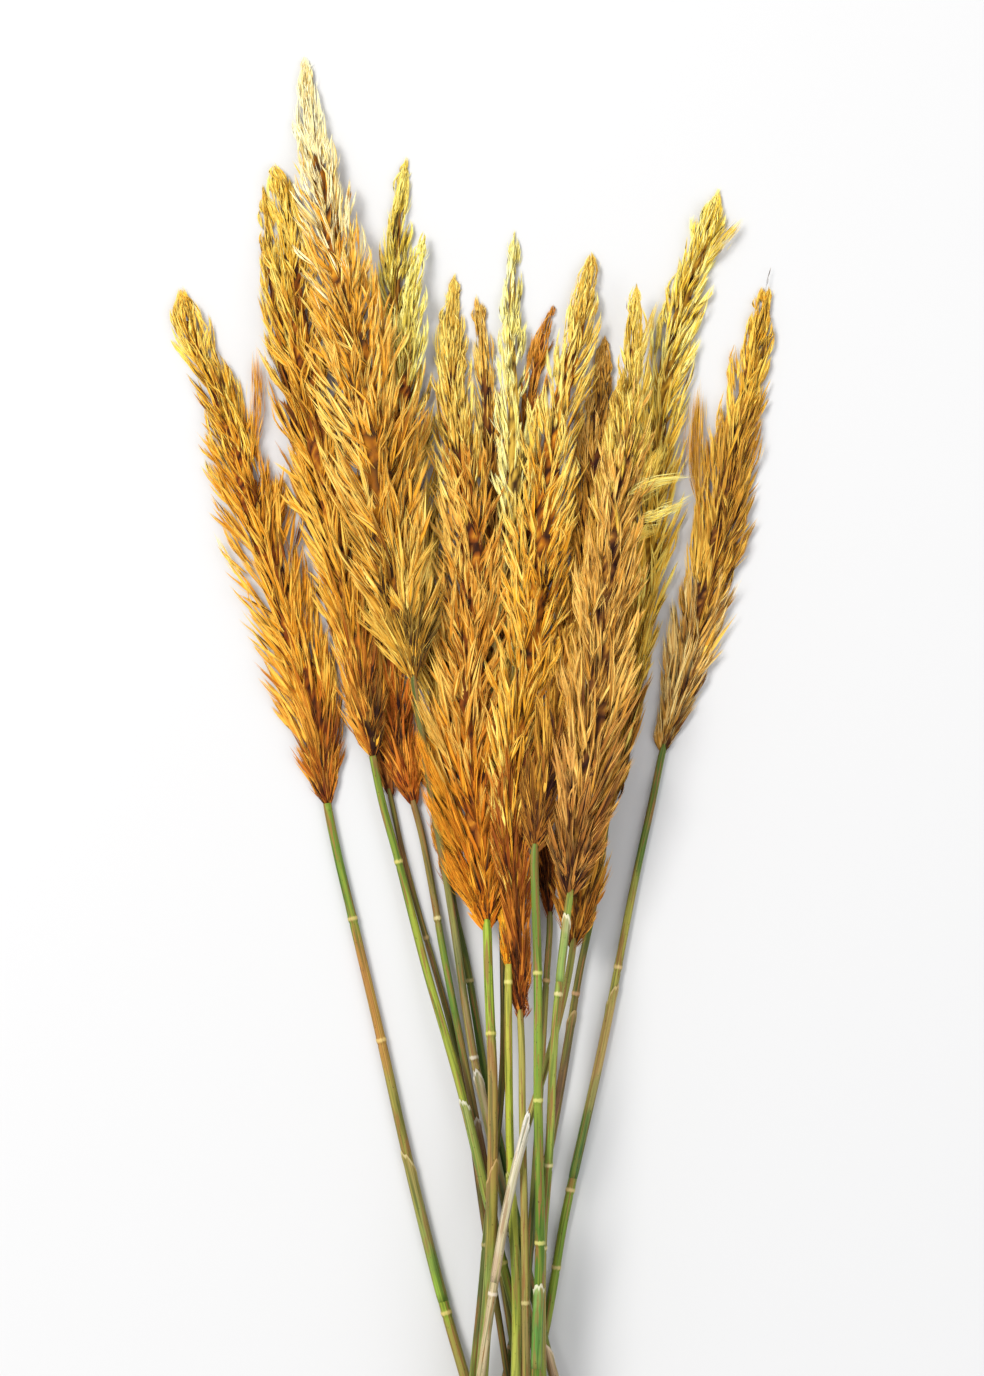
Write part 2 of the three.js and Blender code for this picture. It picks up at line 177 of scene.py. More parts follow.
# Colours of each stem in six equal lengths from its foot to its neck, then of its nodes.
STEM_TONES = {
    "reed_01": (0x8A8040, 0x928842, 0x82A62E, 0x928642, 0xB07E3E, 0x6C8A30, 0xE8CB80),
    "reed_02": (0x5E4A30, 0x5A4830, 0x4E3E2A, 0x54422C, 0x4A3A28, 0x5A3E26, 0xB49A6A),
    "reed_03": (0x7F8B3A, 0x748530, 0x809234, 0x949E3A, 0x98A63A, 0x789034, 0xEAD480),
    "reed_04": (0x7A7440, 0x6E7A44, 0x82885A, 0x927E52, 0x7E7A4C, 0x6A6A3A, 0xE4DCC8),
    "reed_05": (0x7A7A3E, 0x6A7A34, 0x7E6A3C, 0x7A6238, 0x5E7E32, 0x8A7244, 0xEBDDA2),
    "reed_06": (0xB89A78, 0x8A7A50, 0x4C6828, 0x425E26, 0x486228, 0x54622E, 0xC9B27C),
    "reed_07": (0x9AA048, 0xA2A858, 0x94A048, 0x9A7440, 0xA0804A, 0xA0BA3A, 0xE2D672),
    "reed_08": (0x8A8A4C, 0x7C8440, 0x5A6034, 0x4E4A2C, 0x504628, 0x54482C, 0xB8A46C),
    "reed_09": (0xA6B048, 0xAEB44A, 0xA6B23E, 0xA8B83A, 0xB4BE3E, 0xBCB84A, 0xEFE48A),
    "reed_10": (0x7C7040, 0x86784A, 0x9A8650, 0xA0904E, 0xACA252, 0xB2A654, 0xD9C98A),
    "reed_11": (0x5A5E34, 0x4E5A32, 0x5A6638, 0x56643A, 0x6C6E3E, 0x6A6038, 0xC8A070),
    "reed_12": (0x5C7E26, 0x567A28, 0x4E7424, 0x60842A, 0x729434, 0x668030, 0xE0D880),
    "reed_13": (0x8A9444, 0xA89A70, 0xC0AE88, 0xB8A878, 0xA4A050, 0x8E8C44, 0xEADCC8),
    "reed_14": (0x6E8436, 0x728A36, 0x8A8044, 0x7C943C, 0x929E46, 0x8CA044, 0xECD9A0),
    "reed_15": (0x50602A, 0x4E5C2A, 0x6A4A2C, 0x705830, 0x6A5E30, 0x4C662A, 0xD0A078),
    "reed_16": (0x4E6228, 0x526A28, 0x6E8C2E, 0x54702A, 0xA09A48, 0x506C2A, 0xE4C48C),
}


def cut_sections(node, places):
    """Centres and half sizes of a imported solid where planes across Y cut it."""
    mesh = frame["nodes"][node].data
    points = np.array([vertex.co[:] for vertex in mesh.vertices])
    ends = np.array([edge.vertices[:] for edge in mesh.edges])
    start, finish = points[ends[:, 0]], points[ends[:, 1]]
    centres, halves = [], []
    for place in places:
        run = finish[:, 1] - start[:, 1]
        crossed = ((start[:, 1] - place) * (finish[:, 1] - place) <= 0) & (np.abs(run) > 1e-9)
        share = (place - start[crossed, 1]) / run[crossed]
        cut = start[crossed] + share[:, None] * (finish[crossed] - start[crossed])
        low, high = cut.min(axis=0), cut.max(axis=0)
        centres.append((low + high) / 2)
        halves.append((high - low) / 2)
    return np.array(centres), np.array(halves)


def rounded_line(values, step, reach):
    """A line of values with its corners rounded over a reach, and its ends kept."""
    width = max(int(reach / step) // 2, 1)
    before = 2 * values[:1] - values[width:0:-1]
    after = 2 * values[-1:] - values[-2:-width - 2:-1]
    longer = np.concatenate([before, values, after])
    kernel = np.hanning(2 * width + 3)[1:-1]
    return np.convolve(longer, kernel / kernel.sum(), mode="valid")


def reed_spine(reed):
    """Centre line of a whole reed, measured on its stem and plume, with its bends rounded."""
    stem_low, stem_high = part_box(f"{reed}_stem")
    plume_low, plume_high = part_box(f"{reed}_plume")
    stem_places = np.arange(stem_low[1] + END_MARGIN, stem_high[1] - END_MARGIN, SPINE_STEP)
    plume_places = np.arange(plume_low[1] + END_MARGIN, plume_high[1] - END_MARGIN, SPINE_STEP)
    stem_centres, stem_halves = cut_sections(f"{reed}_stem", stem_places)
    plume_centres, plume_halves = cut_sections(f"{reed}_plume", plume_places)
    places = np.concatenate([stem_places, plume_places])
    even = np.arange(places[0], places[-1], SPINE_STEP)
    centres = np.concatenate([stem_centres, plume_centres])
    x = rounded_line(np.interp(even, places, centres[:, 0]), SPINE_STEP, BEND_ROUNDING)
    z = rounded_line(np.interp(even, places, centres[:, 2]), SPINE_STEP, BEND_ROUNDING)
    return {
        "y": even,
        "x": x,
        "z": z,
        "foot": stem_low[1],
        "neck": stem_high[1],
        "tip": plume_high[1],
        "stem_y": stem_places,
        "stem_radius": stem_halves[:, 0],
        "plume_y": plume_places,
        "plume_half": plume_halves,
    }


def along_spine(spine, y):
    """Places on a reed's centre line at given Y, with the directions along, beside and above it."""
    y = np.asarray(y, dtype=float)
    low, high = spine["y"][0], spine["y"][-1]
    held = np.clip(y, low, high)

    def at(values):
        inside = np.interp(held, spine["y"], values)
        slope_low = (values[4] - values[0]) / (spine["y"][4] - spine["y"][0])
        slope_high = (values[-1] - values[-5]) / (spine["y"][-1] - spine["y"][-5])
        return inside + np.minimum(y - low, 0) * slope_low + np.maximum(y - high, 0) * slope_high

    centre = np.stack([at(spine["x"]), y, at(spine["z"])], axis=-1)

    def rise(values):
        after = np.interp(held + SLOPE_REACH, spine["y"], values)
        return after - np.interp(held - SLOPE_REACH, spine["y"], values)

    run = np.minimum(held + SLOPE_REACH, high) - np.maximum(held - SLOPE_REACH, low)
    ahead = np.stack([rise(spine["x"]), run, rise(spine["z"])], axis=-1)
    ahead /= np.linalg.norm(ahead, axis=-1, keepdims=True)
    side = np.cross(ahead, np.array([0.0, 0.0, 1.0]))
    side /= np.linalg.norm(side, axis=-1, keepdims=True)
    return centre, ahead, side, np.cross(side, ahead)


def find_nodes(reed, spine):
    """Places along Y of a stem's nodes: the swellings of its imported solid."""
    places = np.arange(spine["foot"] + END_MARGIN, spine["neck"] - END_MARGIN, NODE_STEP)
    _, halves = cut_sections(f"{reed}_stem", places)
    radius = halves[:, 0]
    reach = int(NODE_REACH / NODE_STEP)
    found = []
    for k in range(reach, len(radius) - reach):
        around = radius[k - reach:k + reach + 1]
        swelling = radius[k] - max(radius[k - reach], radius[k + reach])
        if radius[k] == around.max() and swelling > NODE_BULGE / 2:
            if not found or places[k] - found[-1] > NODE_REACH:
                found.append(places[k])
    return found


def add_group_node(nodes, kind, **settings):
    """A new shader node with its properties set."""
    node = nodes.new(kind)
    for name, value in settings.items():
        setattr(node, name, value)
    return node


def new_group(name, inputs, outputs):
    """An empty shader node group with named sockets, and its input and output nodes."""
    group = bpy.data.node_groups.new(name, "ShaderNodeTree")
    for socket_name, kind in inputs:
        group.interface.new_socket(socket_name, in_out="INPUT", socket_type=f"NodeSocket{kind}")
    for socket_name, kind in outputs:
        group.interface.new_socket(socket_name, in_out="OUTPUT", socket_type=f"NodeSocket{kind}")
    return group, group.nodes.new("NodeGroupInput"), group.nodes.new("NodeGroupOutput")


def mix_colours(group, factor, first, second):
    """Mixes two colours in a group and returns the result's socket."""
    mix = add_group_node(group.nodes, "ShaderNodeMix", data_type="RGBA")
    group.links.new(factor, mix.inputs["Factor"])
    for value, socket in ((first, mix.inputs["A"]), (second, mix.inputs["B"])):
        if isinstance(value, tuple):
            socket.default_value = value
        else:
            group.links.new(value, socket)
    return mix.outputs["Result"]


def map_range(group, value, low, high, to_low=0.0, to_high=1.0):
    """Maps a value from one range to another, clamped and eased, and returns its socket."""
    node = add_group_node(group.nodes, "ShaderNodeMapRange", interpolation_type="SMOOTHSTEP")
    group.links.new(value, node.inputs["Value"])
    node.inputs["From Min"].default_value = low
    node.inputs["From Max"].default_value = high
    node.inputs["To Min"].default_value = to_low
    node.inputs["To Max"].default_value = to_high
    return node.outputs["Result"]


def stretched_noise(group, grain, round_scale, along_scale, detail):
    """Noise drawn out along a cane, from its grain coordinates."""
    stretch = add_group_node(group.nodes, "ShaderNodeVectorMath", operation="MULTIPLY")
    stretch.inputs[1].default_value = (round_scale, round_scale, along_scale)
    group.links.new(grain, stretch.inputs[0])
    noise = group.nodes.new("ShaderNodeTexNoise")
    noise.inputs["Scale"].default_value = 1.0
    noise.inputs["Detail"].default_value = detail
    group.links.new(stretch.outputs["Vector"], noise.inputs["Vector"])
    return noise.outputs["Fac"]


# Dried grass skin: six tones along a length with layers over them. "grain" runs round and
# along the cane, "share" from foot to neck, and "ring" marks the nodes. A layer has its
# noise's scale round and along the cane and detail, two noise values, its cover at each of
# them, and its colour.
CANE_STOPS = ("Foot", "Low", "Lower Middle", "Upper Middle", "High", "Neck")
CANE_LAYERS = {
    "yellow side": ((0.9, 22.0, 2.0), (0.46, 0.60), (0.0, 0.30), 0xA8A23A),
    "dark side": ((1.2, 26.0, 2.0), (0.36, 0.50), (0.6, 0.0), 0x34501A),
    "weathered patches": ((1.3, 48.0, 4.0), (0.53, 0.61), (0.0, 1.0), 0x94683A),
    # The grooves' layer paints shade into the hollows that the same noise cuts as bumps.
    "grooves_and_shade": ((6.0, 20.0, 3.0), (0.36, 0.56), (0.36, 0.0), 0x3A3216),
    "bright lines": ((4.0, 14.0, 2.0), (0.56, 0.72), (0.0, 0.18), 0xC8C46E),
    "specks": ((3.0, 700.0, 2.0), (0.66, 0.72), (0.0, 0.7), 0x3A2614),
}
TONE_WAVER_NOISE = (0.9, 45.0, 3.0)
TONE_WAVER = 0.14
TONE_BLEND = 0.03
RING_CHIP_NOISE = (2.6, 420.0, 3.0)
RING_CHIP_RANGE = (0.85, 1.45)
RING_COVER = 0.6
GROOVE_ROUGHNESS = (0.58, 0.38)
GROOVE_STRENGTH = 0.5

cane_skin, skin_in, skin_out = new_group(
    "dry_cane_skin",
    [(stop, "Color") for stop in CANE_STOPS] + [("Ring", "Color"), ("Weathering", "Float")],
    [("Color", "Color"), ("Roughness", "Float"), ("Height", "Float")],
)
cane_marks = {}
for mark, output in (("grain", "Vector"), ("share", "Fac"), ("ring", "Fac")):
    reader = add_group_node(cane_skin.nodes, "ShaderNodeAttribute", attribute_name=mark)
    cane_marks[mark] = reader.outputs[output]
waver = add_group_node(cane_skin.nodes, "ShaderNodeMath", operation="MULTIPLY_ADD")
waver.inputs[1].default_value = TONE_WAVER
waver_noise = stretched_noise(cane_skin, cane_marks["grain"], *TONE_WAVER_NOISE)
cane_skin.links.new(waver_noise, waver.inputs[0])
cane_skin.links.new(cane_marks["share"], waver.inputs[2])
tone = skin_in.outputs["Foot"]
for count, stop in enumerate(CANE_STOPS[1:], start=1):
    middle = count / len(CANE_STOPS) + TONE_WAVER / 2
    blend = map_range(cane_skin, waver.outputs["Value"], middle - TONE_BLEND, middle + TONE_BLEND)
    tone = mix_colours(cane_skin, blend, tone, skin_in.outputs[stop])
layer_noises = {}
for layer, (stretch, noise_range, covers, colour) in CANE_LAYERS.items():
    layer_noises[layer] = stretched_noise(cane_skin, cane_marks["grain"], *stretch)
    cover = map_range(cane_skin, layer_noises[layer], *noise_range, *covers)
    if layer == "weathered patches":
        weathered = add_group_node(cane_skin.nodes, "ShaderNodeMath", operation="MULTIPLY")
        cane_skin.links.new(cover, weathered.inputs[0])
        cane_skin.links.new(skin_in.outputs["Weathering"], weathered.inputs[1])
        cover = weathered.outputs["Value"]
    tone = mix_colours(cane_skin, cover, tone, linear(colour))
chips = add_group_node(cane_skin.nodes, "ShaderNodeMath", operation="ADD")
cane_skin.links.new(cane_marks["ring"], chips.inputs[0])
chip_noise = stretched_noise(cane_skin, cane_marks["grain"], *RING_CHIP_NOISE)
cane_skin.links.new(chip_noise, chips.inputs[1])
ring_cover = map_range(cane_skin, chips.outputs["Value"], *RING_CHIP_RANGE, 0.0, RING_COVER)
tone = mix_colours(cane_skin, ring_cover, tone, skin_in.outputs["Ring"])
cane_skin.links.new(tone, skin_out.inputs["Color"])
grooves_and_shade = layer_noises["grooves_and_shade"]
cane_roughness = map_range(cane_skin, grooves_and_shade, 0.3, 0.7, *GROOVE_ROUGHNESS)
cane_skin.links.new(cane_roughness, skin_out.inputs["Roughness"])
cane_skin.links.new(grooves_and_shade, skin_out.inputs["Height"])


def cane_finish(name, tones, weathering, groove_depth, gloss):
    """A dried grass material with its own tones along its length, the last one for its rings."""
    material = bpy.data.materials.new(name)
    material.use_nodes = True
    tree = material.node_tree
    shader = tree.nodes["Principled BSDF"]
    shader.inputs["Specular IOR Level"].default_value = gloss
    skin = tree.nodes.new("ShaderNodeGroup")
    skin.node_tree = cane_skin
    for stop, colour in zip(CANE_STOPS, tones):
        skin.inputs[stop].default_value = linear(colour)
    skin.inputs["Ring"].default_value = linear(tones[-1])
    skin.inputs["Weathering"].default_value = weathering
    bump = tree.nodes.new("ShaderNodeBump")
    bump.inputs["Strength"].default_value = GROOVE_STRENGTH
    bump.inputs["Distance"].default_value = groove_depth
    tree.links.new(skin.outputs["Color"], shader.inputs["Base Color"])
    tree.links.new(skin.outputs["Roughness"], shader.inputs["Roughness"])
    tree.links.new(skin.outputs["Height"], bump.inputs["Height"])
    tree.links.new(bump.outputs["Normal"], shader.inputs["Normal"])
    return material


def set_attribute(mesh, name, kind, values):
    """Stores a value or a vector on every point of a mesh."""
    field = {"FLOAT": "value", "FLOAT_VECTOR": "vector"}[kind]
    data = mesh.attributes.new(name, kind, "POINT").data
    data.foreach_set(field, np.ascontiguousarray(values, dtype=np.float32).ravel())


def closed_lathe_faces(rows, sides):
    """Faces of a skin of rings, with a fan over the first and the last one."""
    faces = []
    for row in range(rows - 1):
        for k in range(sides):
            after = (k + 1) % sides
            low, high = row * sides, (row + 1) * sides
            faces.append((low + k, low + after, high + after, high + k))
    first, last = rows * sides, rows * sides + 1
    for k in range(sides):
        after = (k + 1) % sides
        faces.append((first, after, k))
        faces.append((last, (rows - 1) * sides + k, (rows - 1) * sides + after))
    return faces


def add_piece(name, points, faces, material, smooth):
    """A mesh object with one material, in the scene."""
    mesh = bpy.data.meshes.new(name)
    mesh.from_pydata(points.tolist(), [], faces)
    mesh.materials.append(material)
    mesh.polygons.foreach_set("use_smooth", [smooth] * len(mesh.polygons))
    piece = bpy.data.objects.new(name, mesh)
    bpy.context.collection.objects.link(piece)
    return piece


def stem_rings(spine):
    """Places, radii and node ring strengths of a stem's rings, from its foot to its neck."""
    foot, neck = spine["foot"] + END_MARGIN / 2, spine["neck"] + STEM_IN_PLUME
    plain = np.arange(foot, neck, STEM_STEP)
    close = [np.arange(node - NODE_REACH, node + NODE_REACH, NODE_STEP) for node in spine["nodes"]]
    places = np.unique(np.round(np.concatenate([plain, *close, [neck]]), 5))
    places = places[(places >= foot) & (places <= neck)]
    _, ahead, _, _ = along_spine(spine, places)
    radius = np.interp(places, spine["stem_y"], spine["stem_radius"]) * ahead[:, 1]
    for node in spine["nodes"]:
        near = np.abs(places - node) < NODE_REACH
        ends = [node - NODE_REACH, node + NODE_REACH]
        level = np.interp(places[near], ends, np.interp(ends, places, radius))
        offset = places[near] - node
        bulge = np.exp(-(offset / NODE_BULGE_WIDTH) ** 2)
        waist = NODE_WAIST * np.exp(-((offset + NODE_WAIST_BELOW) / NODE_WAIST_WIDTH) ** 2)
        radius[near] = level + NODE_BULGE * (bulge - waist)
    strength = np.zeros(len(places))
    for node in spine["nodes"]:
        strength = np.maximum(strength, np.exp(-((places - node) / NODE_RING_WIDTH) ** 2))
    narrowing = np.clip((neck - places) / STEM_IN_PLUME, 0, 1)
    return places, CANE_SHARE * radius * (NECK_SHARE + (1 - NECK_SHARE) * narrowing), strength


reeds = {}
for reed in STEM_TONES:
    reeds[reed] = reed_spine(reed)
    reeds[reed]["nodes"] = find_nodes(reed, reeds[reed])

slots = {row["node"]: row["material_slot"] for row in frame["record"]["subparts"]}

for number, (reed, tones) in enumerate(STEM_TONES.items()):
    spine = reeds[reed]
    places, radius, strength = stem_rings(spine)
    turns = np.linspace(0, 2 * np.pi, STEM_SIDES, endpoint=False)
    # The hollow at the cut foot is a second skin that runs back inside.
    inner_places = np.array([places[0] + HOLLOW_DEPTH, places[0]])
    inner_radius = np.interp(inner_places, places, radius) * HOLLOW_SHARE
    all_places = np.concatenate([inner_places, places])
    all_radius = np.concatenate([inner_radius, radius])
    centre, _, side, above = along_spine(spine, all_places)
    centre[:, 2] = np.maximum(centre[:, 2], all_radius + SURFACE_GAP)
    ripple = 1 + CANE_RIB_DEPTH * np.cos(CANE_RIBS * turns + number)
    spread = all_radius[:, None] * ripple[None, :]
    points = (
        centre[:, None, :]
        + side[:, None, :] * (spread * np.sin(turns)[None, :])[..., None]
        + above[:, None, :] * (spread * np.cos(turns)[None, :])[..., None]
    ).reshape(-1, 3)
    points = np.concatenate([points, centre[:1], centre[-1:]])
    finish = cane_finish(f"cane_{reed}", tones, CANE_WEATHERING, CANE_GROOVE_DEPTH, CANE_SPECULAR)
    faces = closed_lathe_faces(len(all_places), STEM_SIDES)
    stem = add_piece(f"{reed}_stem_cane", points, faces, finish, True)
    rows = np.repeat(all_places, STEM_SIDES)
    angles = np.tile(turns, len(all_places))
    grain_lines = np.stack([np.cos(angles), np.sin(angles), rows + number], axis=-1)
    ends = np.array([[0, 0, all_places[0] + number], [0, 0, all_places[-1] + number]])
    set_attribute(stem.data, "grain", "FLOAT_VECTOR", np.concatenate([grain_lines, ends]))
    shares = (np.append(rows, [all_places[0], all_places[-1]]) - places[0]) / (places[-1] - places[0])
    set_attribute(stem.data, "share", "FLOAT", shares)
    rings = np.repeat(np.concatenate([[0, 0], strength]), STEM_SIDES)
    set_attribute(stem.data, "ring", "FLOAT", np.append(rings, [0, 0]))
    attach(stem, "root")
    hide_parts(f"{reed}_stem")

# ---------------------------------------------------------------------------------------
# The leaf sheaths: papery dry leaf bases, rolled round the stem above a node with their
# edges nearly meeting. They are ribbed lengthwise, and their tops are torn off at a slant.
# ---------------------------------------------------------------------------------------
SHEATH_SIDES = 24
SHEATH_STEP = 0.003
SHEATH_WALL = 0.00018
SHEATH_STAND = 0.00022
SHEATH_SLIT = 0.05
SHEATH_FEWEST_ROWS = 14
SHEATH_FLARE = 0.00025
FLARING_SHARE = 0.04
SHEATH_HUG = 0.00012
HUGGING_SHARE = 0.05
SHEATH_RIBS = 11
SHEATH_RIB_DEPTH = 0.00004
SLIT_LIFT = 0.00015
SLIT_LIFT_REACH = 0.3
TEAR_DEPTH = 0.0022
TORN_EDGE = 0.0018
SHEATH_TONE_REACH = 0.92
SHEATH_GRAIN_START = 20
SHEATH_SPECULAR = 0.2
SHEATH_WEATHERING = 0.55
SHEATH_GROOVE_DEPTH = 0.0002

# Colours from base to top and then of the torn edge, the side that the slit faces, and the
# slant of the top.
SHEATH_LOOKS = {
    "reed_01": ((0x84AE3C, 0x7E9C42, 0x848E48, 0x8C8C4A, 0x968A4C, 0xA08E50, 0xD8C68E), 2.4, 0.012),
    "reed_03": ((0x7E9440, 0x84984A, 0x8C9C48, 0x8FA04C, 0x94A04E, 0x9AA25A, 0xF0E8D8), 2.6, 0.007),
    "reed_04": ((0x7E8450, 0x868860, 0x8C8460, 0x8E7C58, 0x988868, 0xB0A284, 0xECE6DA), 2.9, 0.009),
    "reed_05": ((0x6E7A42, 0x6E7440, 0x7A6E42, 0x86603E, 0x8A644A, 0xA0806A, 0xE6DCCC), 3.6, 0.008),
    "reed_06": ((0xBE9E80, 0xC4A488, 0xC8A88C, 0xC4A284, 0xB8987A, 0xD0B090, 0xE8D2B8), 2.8, 0.008),
    "reed_07": ((0x9CA050, 0xA4A65C, 0x98A050, 0x8E9C4A, 0x94883E, 0x9A7A44, 0xC8A46C), 3.9, 0.014),
    "reed_09": ((0xA8B450, 0xAAB24E, 0xA6B044, 0xA0AE44, 0xA8B244, 0xA8AE4A, 0xCFCB7A), 2.3, 0.016),
    "reed_12": ((0x5E8C3C, 0x588838, 0x5C8C3C, 0x64923E, 0x74984A, 0x90A860, 0xF0EAD0), 3.3, 0.005),
    "reed_13": ((0xC0A888, 0xC8B898, 0xD0C4A8, 0xD4CAB0, 0xDCD2C0, 0xE6E0D4, 0xF6F3EC), 2.5, 0.016),
    "reed_14": ((0x84A052, 0x88A254, 0x8CA456, 0x94A85E, 0xAEB47A, 0xCCC692, 0xF0EAC8), 2.8, 0.008),
    "reed_15": ((0x7A5638, 0x74523A, 0x664C34, 0x6E5436, 0x74603A, 0x8A7448, 0xB89C68), 3.6, 0.008),
    "reed_16": ((0x4E7234, 0x68803C, 0x9C9454, 0xBC9E62, 0xB89A5E, 0xA89A58, 0xD8BE88), 3.8, 0.012),
}

for number, (reed, (tones, facing, slant)) in enumerate(SHEATH_LOOKS.items()):
    tears = np.random.default_rng(300 + number)
    spine = reeds[reed]
    low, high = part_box(f"{reed}_sheath")
    base, top = low[1] + END_MARGIN / 2, high[1] - END_MARGIN / 2
    rows = max(int((top - base) / SHEATH_STEP), SHEATH_FEWEST_ROWS)
    levels = 1 - (1 - np.linspace(0, 1, rows)) ** 1.3
    turns = np.linspace(SHEATH_SLIT, 2 * np.pi - SHEATH_SLIT, SHEATH_SIDES) + facing
    jagged = tears.uniform(0, 1, SHEATH_SIDES) ** 3 * TEAR_DEPTH
    drop = slant * (0.5 + 0.5 * np.cos(turns - facing)) ** 0.8 + jagged
    places = base + levels[:, None] * (top - base - drop)[None, :]
    centre, ahead, side, above = along_spine(spine, places)
    held = np.clip(places, spine["stem_y"][0], spine["neck"] - END_MARGIN)
    stem = np.interp(held, spine["stem_y"], spine["stem_radius"]) * CANE_SHARE * ahead[..., 1]
    flare = np.clip(1 - (1 - levels) / FLARING_SHARE, 0, 1)[:, None] * SHEATH_FLARE
    hug = np.clip(1 - levels / HUGGING_SHARE, 0, 1)[:, None] * SHEATH_HUG
    ribs = SHEATH_RIB_DEPTH * np.cos(SHEATH_RIBS * turns)[None, :]
    from_slit = np.minimum(turns - facing, 2 * np.pi - turns + facing) - SHEATH_SLIT
    lift = SLIT_LIFT * np.exp(-(from_slit / SLIT_LIFT_REACH) ** 2)
    skin = stem + SHEATH_STAND + flare - hug + ribs + lift[None, :]
    centre[..., 2] = np.maximum(centre[..., 2], skin + SURFACE_GAP)
    shells = []
    for thickness in (0.0, SHEATH_WALL):
        radius = (skin - thickness)[..., None]
        round_side = side * np.sin(turns)[None, :, None] * radius
        round_up = above * np.cos(turns)[None, :, None] * radius
        shells.append((centre + round_side + round_up).reshape(-1, 3))
    count = rows * SHEATH_SIDES
    faces = []
    for row in range(rows - 1):
        for k in range(SHEATH_SIDES - 1):
            a = row * SHEATH_SIDES + k
            b, c, d = a + 1, a + 1 + SHEATH_SIDES, a + SHEATH_SIDES
            faces.append((a, b, c, d))
            faces.append((count + d, count + c, count + b, count + a))
    for k in range(SHEATH_SIDES - 1):
        faces.append((count + k, count + k + 1, k + 1, k))
        last = (rows - 1) * SHEATH_SIDES + k
        faces.append((last, last + 1, count + last + 1, count + last))
    for row in range(rows - 1):
        left, right = row * SHEATH_SIDES, row * SHEATH_SIDES + SHEATH_SIDES - 1
        faces.append((left, left + SHEATH_SIDES, count + left + SHEATH_SIDES, count + left))
        faces.append((count + right, count + right + SHEATH_SIDES, right + SHEATH_SIDES, right))
    finish = cane_finish(
        f"sheath_{reed}", tones, SHEATH_WEATHERING, SHEATH_GROOVE_DEPTH, SHEATH_SPECULAR
    )
    sheath = add_piece(f"{reed}_sheath_leaf", np.concatenate(shells), faces, finish, True)
    round_grid = np.broadcast_to(turns[None, :], places.shape).ravel()
    along_grain = places.ravel() + SHEATH_GRAIN_START + number
    lines = np.stack([np.cos(round_grid), np.sin(round_grid), along_grain], axis=-1)
    set_attribute(sheath.data, "grain", "FLOAT_VECTOR", np.tile(lines, (2, 1)))
    level_grid = np.broadcast_to(levels[:, None], places.shape).ravel()
    set_attribute(sheath.data, "share", "FLOAT", np.tile(level_grid * SHEATH_TONE_REACH, 2))
    from_top = np.broadcast_to(places[-1][None, :], places.shape).ravel() - places.ravel()
    pale_edge = np.clip(1.5 - from_top / TORN_EDGE, 0, 1)
    set_attribute(sheath.data, "ring", "FLOAT", np.tile(pale_edge, 2))
    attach(sheath, "root")
    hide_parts(f"{reed}_sheath")

# ---------------------------------------------------------------------------------------
# The plumes: dried seed heads. Each has a dense heart along its axis, painted mostly dark as
# the shade deep inside the plume, and a few hundred pointed locks that lean towards the tip.
# A lock is a branchlet set with stiff seed hairs, dark at their roots, partly their own colour
# and partly painted shade, and pale at their ends, so the outline is ragged. Scattered hairs
# are painted nearly black as the shade in the gaps between locks.
# ---------------------------------------------------------------------------------------
HAIR_STRIPS = ("Base", "Body", "Tip")
HAIR_SHADES = {"Shade": (0.02, 0.24), "Middle": (0.20, 0.52), "Light": (0.52, 0.86)}
# How far along a hair the nearly black colour reaches from its root: partly its own darker root, partly
# painted shade.
DARK_ROOT_AND_SHADE = (0.05, 0.42, 0.5, 0.0)
LIGHT_AT_END = (0.5, 0.95, 0.0, 0.35)
HAIR_ROUGHNESS = (0.1, 0.9, 0.9, 0.65)

# Colour of a hair. Along U lie three strips, for hairs at the base, on the body and at the
# tip of a plume, each from root to end. V runs from a nearly black colour, painted shade for
# the gaps between locks, through shade and middle to light, and each shade comes in between
# two values of it. Near its root a hair goes over to that nearly black colour: partly its own
# darker root and partly painted shade.
hair_skin, hair_in, hair_out = new_group(
    "seed_hair_colour",
    [(f"{strip} {shade}", "Color") for strip in HAIR_STRIPS for shade in HAIR_SHADES] + [("Gap Shade", "Color")],
    [("Color", "Color"), ("Roughness", "Float")],
)
hair_uv = add_group_node(hair_skin.nodes, "ShaderNodeUVMap", uv_map="OFBake")
hair_split = hair_skin.nodes.new("ShaderNodeSeparateXYZ")
hair_skin.links.new(hair_uv.outputs["UV"], hair_split.inputs["Vector"])
strip_place = add_group_node(hair_skin.nodes, "ShaderNodeMath", operation="MULTIPLY")
strip_place.inputs[1].default_value = len(HAIR_STRIPS)
hair_skin.links.new(hair_split.outputs["X"], strip_place.inputs[0])
along_hair = add_group_node(hair_skin.nodes, "ShaderNodeMath", operation="FRACT")
hair_skin.links.new(strip_place.outputs["Value"], along_hair.inputs[0])
shades = {}
for shade in HAIR_SHADES:
    shades[shade] = hair_in.outputs[f"Base {shade}"]
    for count, strip in enumerate(HAIR_STRIPS[1:], start=1):
        past = add_group_node(hair_skin.nodes, "ShaderNodeMath", operation="GREATER_THAN")
        past.inputs[1].default_value = count
        hair_skin.links.new(strip_place.outputs["Value"], past.inputs[0])
        next_strip = hair_in.outputs[f"{strip} {shade}"]
        shades[shade] = mix_colours(hair_skin, past.outputs["Value"], shades[shade], next_strip)
hair_tone = hair_split.outputs["Y"]
hair_colour = hair_in.outputs["Gap Shade"]
for shade, (low, high) in HAIR_SHADES.items():
    lighter = map_range(hair_skin, hair_tone, low, high)
    hair_colour = mix_colours(hair_skin, lighter, hair_colour, shades[shade])
root_colour_and_shade = map_range(hair_skin, along_hair.outputs["Value"], *DARK_ROOT_AND_SHADE)
